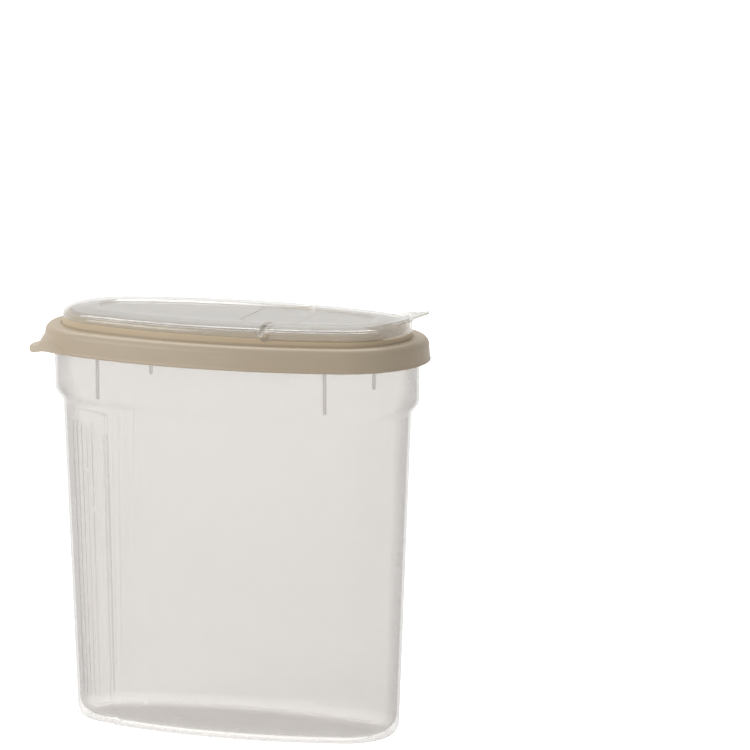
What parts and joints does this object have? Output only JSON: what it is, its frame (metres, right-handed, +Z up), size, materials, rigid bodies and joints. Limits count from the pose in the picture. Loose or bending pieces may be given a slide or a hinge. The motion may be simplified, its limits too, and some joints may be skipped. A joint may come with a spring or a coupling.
{
  "type": "cereal container",
  "caption": "Oval translucent food storage container with a beige press-on lid ring, clear covers and a flip spout for pouring dry food.",
  "frame": {"origin": "middle of the flat base that the container stands on", "axes": "+X towards the spout end, +Y across the narrow width, +Z up through the lid"},
  "size_m": [0.2015, 0.096, 0.2067],
  "materials": {
    "body": "translucent natural polypropylene with a soft sheen",
    "ring": "satin beige polyethylene",
    "cover": "clear glossy polypropylene",
    "flip": "clear glossy polypropylene"
  },
  "bodies": {
    "container": {"container": "body"},
    "lid": {"lid_ring": "ring", "fixed_cover": "cover"},
    "flip": {"flip_lid": "flip"}
  },
  "joints": [
    {"name": "lid_lift", "type": "slide", "parent": "container", "child": "lid", "axis": [0, 0, 1], "range_m": [0, 0.2]},
    {"name": "flip_hinge", "type": "hinge", "parent": "lid", "child": "flip", "pos_m": [0.0284, 0, 0.1969], "axis": [0, -1, 0], "range_deg": [0, 90]}
  ]
}
